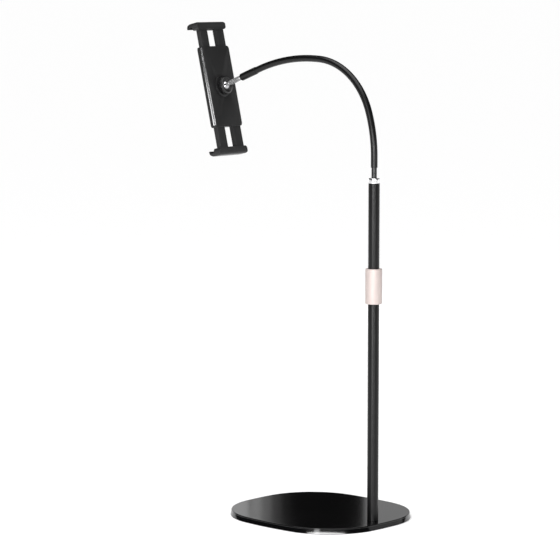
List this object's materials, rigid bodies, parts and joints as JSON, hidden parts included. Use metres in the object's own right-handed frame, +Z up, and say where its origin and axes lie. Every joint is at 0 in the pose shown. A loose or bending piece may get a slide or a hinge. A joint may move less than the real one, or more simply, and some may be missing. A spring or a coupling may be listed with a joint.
{
  "type": "adjustable tablet floor stand",
  "caption": "Floor stand for a tablet: weighted base, telescoping pole with twist lock, bendable gooseneck and a ball-jointed holder whose hooked jaws slide apart.",
  "frame": {"origin": "centre of the base on the floor", "axes": "+Z up along the pole, the gooseneck and holder reach towards -X, +Y completes the right-handed frame"},
  "size_m": [0.4356, 0.269, 0.8428],
  "materials": {
    "gloss_black_cover": "high gloss black",
    "weight_steel": "black coated steel plate",
    "black_tube": "gloss black lacquer",
    "rose_aluminium": "satin anodised, rose",
    "bright_chrome": "polished",
    "neck_rubber": "smooth black sleeve",
    "core_steel": "plain steel",
    "black_metal": "black coated",
    "inner_steel": "drawn steel tube",
    "pale_nylon": "pale nylon",
    "bright_trim": "bright ribbed strip",
    "soft_pad": "soft matt pad",
    "grey_ring": "dark grey",
    "fastener_steel": "zinc plated",
    "pinion_brass": "cut brass",
    "arm_plastic": "satin black",
    "jaw_plastic": "satin black",
    "holder_plastic": "satin black"
  },
  "bodies": {
    "stand": {"base_pad": "soft_pad", "weight_plate": "weight_steel", "base_cover": "gloss_black_cover", "base_screws": "fastener_steel", "foot_plug": "fastener_steel", "foot_bolt": "fastener_steel", "foot_washer": "fastener_steel", "lower_tube": "black_tube", "collar_collet": "pale_nylon"},
    "collar": {"lock_collar": "rose_aluminium"},
    "extension": {"inner_tube": "inner_steel", "tube_glide": "pale_nylon"},
    "upper_pole": {"upper_tube": "black_tube", "top_ring": "bright_chrome", "neck_socket": "black_metal", "neck_sleeve_0": "neck_rubber", "neck_core_0": "core_steel"},
    "neck_1": {"neck_sleeve_1": "neck_rubber", "neck_core_1": "core_steel"},
    "neck_2": {"neck_sleeve_2": "neck_rubber", "neck_core_2": "core_steel"},
    "neck_3": {"neck_sleeve_3": "neck_rubber", "neck_core_3": "core_steel"},
    "neck_4": {"neck_sleeve_4": "neck_rubber", "neck_core_4": "core_steel"},
    "neck_5": {"neck_sleeve_5": "neck_rubber", "neck_core_5": "core_steel"},
    "neck_6": {"neck_sleeve_6": "neck_rubber", "neck_core_6": "core_steel"},
    "neck_7": {"neck_sleeve_7": "neck_rubber", "neck_core_7": "core_steel"},
    "neck_8": {"neck_sleeve_8": "neck_rubber", "neck_core_8": "core_steel"},
    "neck_9": {"neck_sleeve_9": "neck_rubber", "neck_core_9": "core_steel", "head_sleeve": "neck_rubber"},
    "ball": {"ball_stem": "bright_chrome"},
    "seat": {"ball_seat": "pale_nylon"},
    "holder": {"ball_socket": "holder_plastic", "grip_ring": "grey_ring", "cover_plate": "holder_plastic", "back_shell": "holder_plastic", "socket_screws": "fastener_steel", "housing_screws": "fastener_steel", "back_pad": "soft_pad", "trim_left": "bright_trim", "trim_right": "bright_trim", "pinion_pin": "fastener_steel", "friction_washer": "fastener_steel"},
    "nut": {"lock_nut": "holder_plastic"},
    "upper_clamp": {"upper_arm": "arm_plastic", "upper_jaw": "jaw_plastic", "upper_jaw_pad": "soft_pad", "upper_jaw_screws": "fastener_steel"},
    "lower_clamp": {"lower_arm": "arm_plastic", "lower_jaw": "jaw_plastic", "lower_jaw_pad": "soft_pad", "lower_jaw_screws": "fastener_steel"},
    "pinion": {"pinion": "pinion_brass"}
  },
  "joints": [
    {"name": "collar_twist", "type": "hinge", "parent": "stand", "child": "collar", "pos_m": [0.1197, 0, 0.4071], "axis": [0, 0, 1], "range_deg": [0, 90]},
    {"name": "height", "type": "slide", "parent": "stand", "child": "extension", "axis": [0, 0, 1], "range_m": [0, 0.25]},
    {"name": "pole_swivel", "type": "hinge", "parent": "extension", "child": "upper_pole", "pos_m": [0.1197, 0, 0.5076], "axis": [0, 0, 1], "continuous": true},
    {"name": "neck_bend_1", "type": "hinge", "parent": "upper_pole", "child": "neck_1", "pos_m": [0.1197, 0, 0.6226], "axis": [0, 1, 0], "range_deg": [-12, 12]},
    {"name": "neck_bend_2", "type": "hinge", "parent": "neck_1", "child": "neck_2", "pos_m": [0.11652, 0, 0.66089], "axis": [-0.9863, 0, -0.165], "range_deg": [-12, 12]},
    {"name": "neck_bend_3", "type": "hinge", "parent": "neck_2", "child": "neck_3", "pos_m": [0.10706, 0, 0.69813], "axis": [0, 1, 0], "range_deg": [-12, 12]},
    {"name": "neck_bend_4", "type": "hinge", "parent": "neck_3", "child": "neck_4", "pos_m": [0.08254, 0, 0.74033], "axis": [0, 1, 0], "range_deg": [-12, 12]},
    {"name": "neck_bend_5", "type": "hinge", "parent": "neck_4", "child": "neck_5", "pos_m": [0.04382, 0, 0.77004], "axis": [-0.4436, 0, -0.8962], "range_deg": [-12, 12]},
    {"name": "neck_bend_6", "type": "hinge", "parent": "neck_5", "child": "neck_6", "pos_m": [-0.00329, 0, 0.7828], "axis": [0, 1, 0], "range_deg": [-12, 12]},
    {"name": "neck_bend_7", "type": "hinge", "parent": "neck_6", "child": "neck_7", "pos_m": [-0.0517, 0, 0.7828], "axis": [0, 1, 0], "range_deg": [-12, 12]},
    {"name": "neck_bend_8", "type": "hinge", "parent": "neck_7", "child": "neck_8", "pos_m": [-0.09964, 0, 0.77607], "axis": [0.2079, 0, -0.9781], "range_deg": [-12, 12]},
    {"name": "neck_bend_9", "type": "hinge", "parent": "neck_8", "child": "neck_9", "pos_m": [-0.14617, 0, 0.76272], "axis": [0, 1, 0], "range_deg": [-12, 12]},
    {"name": "head_spin", "type": "hinge", "parent": "neck_9", "child": "ball", "pos_m": [-0.22962, 0, 0.73235], "axis": [0.9397, 0, 0.342], "continuous": true},
    {"name": "head_pan", "type": "hinge", "parent": "ball", "child": "seat", "pos_m": [-0.22962, 0, 0.73235], "axis": [0, 0, 1], "range_deg": [-30.4, 19.6]},
    {"name": "head_tilt", "type": "hinge", "parent": "seat", "child": "holder", "pos_m": [-0.22962, 0, 0.73235], "axis": [-0.0941, 0.9956, 0], "range_deg": [-32.1, 17.9]},
    {"name": "nut_turn", "type": "hinge", "parent": "holder", "child": "nut", "pos_m": [-0.22962, 0, 0.73235], "axis": [0.9704, 0.0917, 0.2233], "range_deg": [0, 180]},
    {"name": "upper_clamp_slide", "type": "slide", "parent": "holder", "child": "upper_clamp", "axis": [-0.2223, -0.021, 0.9748], "range_m": [-0.0295, 0.006]},
    {"name": "lower_clamp_slide", "type": "slide", "parent": "holder", "child": "lower_clamp", "axis": [0.2223, 0.021, -0.9748], "range_m": [-0.0295, 0.006]},
    {"name": "pinion_turn", "type": "hinge", "parent": "holder", "child": "pinion", "pos_m": [-0.22962, 0, 0.73235], "axis": [0.9704, 0.0917, 0.2233], "range_deg": [-354, 75]}
  ],
  "couplings": [
    {"joint": "lower_clamp_slide", "follows": "upper_clamp_slide", "ratio": 1},
    {"joint": "pinion_turn", "follows": "upper_clamp_slide", "rad_per_m": 208.33}
  ]
}
